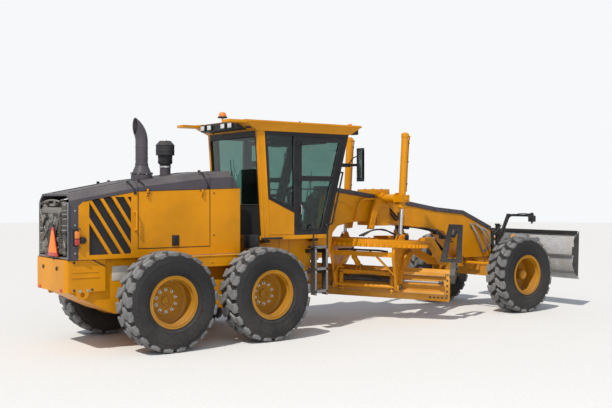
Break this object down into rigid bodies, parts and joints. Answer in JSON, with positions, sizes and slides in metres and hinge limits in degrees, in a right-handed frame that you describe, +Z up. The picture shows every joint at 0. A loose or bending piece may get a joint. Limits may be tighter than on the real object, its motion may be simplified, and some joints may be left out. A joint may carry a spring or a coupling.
{
  "type": "motor grader",
  "caption": "Articulated motor grader with tandem rear wheels, tall cab, long arched neck, turning blade circle and raised front blade.",
  "frame": {"origin": "middle of the footprint on the ground: half way between the bumper and the front blade, half way across", "axes": "+X forward, +Y to the left, +Z up from the ground"},
  "size_m": [9.67, 2.6, 3.42],
  "materials": {
    "yellow_paint": "semi-gloss, dusty",
    "dark_cover": "satin",
    "black_parts": "satin",
    "rubber_hose": "matt",
    "engine_grey": "rough",
    "cooler_grey": "dusty",
    "red_lamp": "gloss",
    "amber_lamp": "gloss",
    "seat_cloth": "woven",
    "tinted_glass": "clear",
    "rod_steel": "polished",
    "grey_blade": "worn",
    "tyre_rubber": "dusty",
    "rim_paint": "dusty"
  },
  "bodies": {
    "rear_chassis": {"rear_frame": "yellow_paint", "rear_axle": "yellow_paint", "hood_top": "dark_cover", "hood_sides": "yellow_paint", "hood_grilles": "black_parts", "engine": "engine_grey", "cooler": "cooler_grey", "stacks": "dark_cover", "rear_lamps": "red_lamp"},
    "hood_door_right": {"hood_door_r": "yellow_paint"},
    "hood_door_left": {"hood_door_l": "yellow_paint"},
    "front_chassis": {"neck": "yellow_paint", "neck_cover": "dark_cover", "cab_shell": "yellow_paint", "cab_frame": "black_parts", "cab_glass": "tinted_glass", "roof": "yellow_paint", "seat": "seat_cloth", "console": "black_parts", "ladders": "black_parts", "mirrors": "black_parts", "roof_lamps": "amber_lamp", "saddle": "yellow_paint", "front_axle": "yellow_paint", "hoses": "rubber_hose", "front_mount": "black_parts"},
    "cab_door_right": {"door_r": "black_parts", "door_glass_r": "tinted_glass"},
    "cab_door_left": {"door_l": "black_parts", "door_glass_l": "tinted_glass"},
    "steer_knuckle_right": {"knuckle_r": "yellow_paint"},
    "steer_knuckle_left": {"knuckle_l": "yellow_paint"},
    "tie_rod_link": {"tie_rod": "yellow_paint"},
    "wheel_rear_right": {"tyre_rear_r": "tyre_rubber", "rim_rear_r": "rim_paint"},
    "wheel_mid_right": {"tyre_mid_r": "tyre_rubber", "rim_mid_r": "rim_paint"},
    "wheel_front_right": {"tyre_front_r": "tyre_rubber", "rim_front_r": "rim_paint"},
    "wheel_rear_left": {"tyre_rear_l": "tyre_rubber", "rim_rear_l": "rim_paint"},
    "wheel_mid_left": {"tyre_mid_l": "tyre_rubber", "rim_mid_l": "rim_paint"},
    "wheel_front_left": {"tyre_front_l": "tyre_rubber", "rim_front_l": "rim_paint"},
    "drawbar_frame": {"drawbar": "yellow_paint"},
    "turning_circle": {"circle": "yellow_paint"},
    "tip_cylinder_rod": {"tip_rod": "rod_steel"},
    "tip_carrier": {"blade_carrier": "yellow_paint"},
    "main_blade": {"moldboard": "yellow_paint", "shift_rod": "rod_steel", "blade_guard": "black_parts"},
    "lift_cylinders": {"lift_barrels": "yellow_paint"},
    "lift_cylinder_rods": {"lift_rods": "rod_steel"},
    "blade_lift_arms": {"front_arms": "black_parts"},
    "blade_upper_links": {"front_link": "black_parts"},
    "dozer_blade": {"front_blade": "grey_blade"},
    "dozer_cylinder_rod": {"front_lift_rod": "rod_steel"}
  },
  "joints": [
    {"name": "articulation", "type": "hinge", "parent": "rear_chassis", "child": "front_chassis", "pos_m": [-2.065, 0, 1], "axis": [0, 0, 1], "range_deg": [-22, 22]},
    {"name": "hood_door_right_lift", "type": "hinge", "parent": "rear_chassis", "child": "hood_door_right", "pos_m": [-3.815, -0.584, 2.17], "axis": [-1, 0, 0], "range_deg": [0, 75]},
    {"name": "hood_door_left_lift", "type": "hinge", "parent": "rear_chassis", "child": "hood_door_left", "pos_m": [-3.815, 0.584, 2.17], "axis": [1, 0, 0], "range_deg": [0, 75]},
    {"name": "cab_door_right_swing", "type": "hinge", "parent": "front_chassis", "child": "cab_door_right", "pos_m": [-1.232, -0.734, 1.49], "axis": [0, 0, -1], "range_deg": [0, 85]},
    {"name": "cab_door_left_swing", "type": "hinge", "parent": "front_chassis", "child": "cab_door_left", "pos_m": [-1.232, 0.734, 1.49], "axis": [0, 0, 1], "range_deg": [0, 85]},
    {"name": "steer_right", "type": "hinge", "parent": "front_chassis", "child": "steer_knuckle_right", "pos_m": [3.465, -0.74, 0.7], "axis": [0, 0, 1], "range_deg": [-45, 45]},
    {"name": "steer_left", "type": "hinge", "parent": "front_chassis", "child": "steer_knuckle_left", "pos_m": [3.465, 0.74, 0.7], "axis": [0, 0, 1], "range_deg": [-45, 45]},
    {"name": "tie_rod_turn", "type": "hinge", "parent": "steer_knuckle_right", "child": "tie_rod_link", "pos_m": [3.035, -0.74, 0.87], "axis": [0, 0, 1], "range_deg": [-45, 45]},
    {"name": "wheel_rear_right_roll", "type": "hinge", "parent": "rear_chassis", "child": "wheel_rear_right", "pos_m": [-3.601, -1.0275, 0.674], "axis": [0, 1, 0], "continuous": true},
    {"name": "wheel_mid_right_roll", "type": "hinge", "parent": "rear_chassis", "child": "wheel_mid_right", "pos_m": [-2.029, -1.0275, 0.674], "axis": [0, 1, 0], "continuous": true},
    {"name": "wheel_front_right_roll", "type": "hinge", "parent": "steer_knuckle_right", "child": "wheel_front_right", "pos_m": [3.465, -1.0275, 0.674], "axis": [0, 1, 0], "continuous": true},
    {"name": "wheel_rear_left_roll", "type": "hinge", "parent": "rear_chassis", "child": "wheel_rear_left", "pos_m": [-3.601, 1.0275, 0.674], "axis": [0, 1, 0], "continuous": true},
    {"name": "wheel_mid_left_roll", "type": "hinge", "parent": "rear_chassis", "child": "wheel_mid_left", "pos_m": [-2.029, 1.0275, 0.674], "axis": [0, 1, 0], "continuous": true},
    {"name": "wheel_front_left_roll", "type": "hinge", "parent": "steer_knuckle_left", "child": "wheel_front_left", "pos_m": [3.465, 1.0275, 0.674], "axis": [0, 1, 0], "continuous": true},
    {"name": "blade_lift", "type": "hinge", "parent": "front_chassis", "child": "drawbar_frame", "pos_m": [2.825, 0, 0.87], "axis": [0, 1, 0], "range_deg": [-20, 3]},
    {"name": "lift_cylinder_swing", "type": "hinge", "parent": "front_chassis", "child": "lift_cylinders", "pos_m": [0.885, 0, 2.04], "axis": [0, 1, 0], "range_deg": [-0.5, 2]},
    {"name": "lift_cylinder_stroke", "type": "slide", "parent": "lift_cylinders", "child": "lift_cylinder_rods", "axis": [-0.0644, 0, -0.9979], "range_m": [-0.12, 0.73]},
    {"name": "circle_turn", "type": "hinge", "parent": "drawbar_frame", "child": "turning_circle", "pos_m": [0.86788, 0, 1.26297], "axis": [0.0523, 0, 0.9986], "range_deg": [-80, 15]},
    {"name": "blade_tip", "type": "hinge", "parent": "turning_circle", "child": "tip_carrier", "pos_m": [0.54263, -0.21464, 0.57905], "axis": [-0.5954, 0.8028, 0.0312], "range_deg": [-5, 35]},
    {"name": "tip_cylinder_stroke", "type": "slide", "parent": "turning_circle", "child": "tip_cylinder_rod", "axis": [0.7137, 0.5464, -0.4383], "range_m": [-0.03, 0.205]},
    {"name": "blade_side_shift", "type": "slide", "parent": "tip_carrier", "child": "main_blade", "axis": [0.5954, -0.8028, -0.0312], "range_m": [-0.2, 0.6]},
    {"name": "front_blade_lift", "type": "hinge", "parent": "front_chassis", "child": "blade_lift_arms", "pos_m": [3.745, 0, 0.7], "axis": [0, 1, 0], "range_deg": [0, 53]},
    {"name": "front_link_swing", "type": "hinge", "parent": "front_chassis", "child": "blade_upper_links", "pos_m": [3.745, 0, 1.05], "axis": [0, 1, 0], "range_deg": [0, 53]},
    {"name": "front_blade_level", "type": "hinge", "parent": "blade_lift_arms", "child": "dozer_blade", "pos_m": [4.28428, 0, 0.96302], "axis": [0, 1, 0], "range_deg": [-53, 0]},
    {"name": "front_cylinder_stroke", "type": "slide", "parent": "front_chassis", "child": "dozer_cylinder_rod", "axis": [0, 0, -1], "range_m": [0, 0.29]}
  ],
  "couplings": [
    {"joint": "steer_left", "follows": "steer_right", "ratio": 1},
    {"joint": "tie_rod_turn", "follows": "steer_right", "ratio": -1},
    {"joint": "lift_cylinder_swing", "follows": "blade_lift", "ratio": -0.08},
    {"joint": "lift_cylinder_stroke", "follows": "blade_lift", "m_per_rad": -2.04},
    {"joint": "tip_cylinder_stroke", "follows": "blade_tip", "m_per_rad": 0.327},
    {"joint": "front_link_swing", "follows": "front_blade_lift", "ratio": 1},
    {"joint": "front_blade_level", "follows": "front_blade_lift", "ratio": -1},
    {"joint": "front_cylinder_stroke", "follows": "front_blade_lift", "m_per_rad": 0.31}
  ]
}
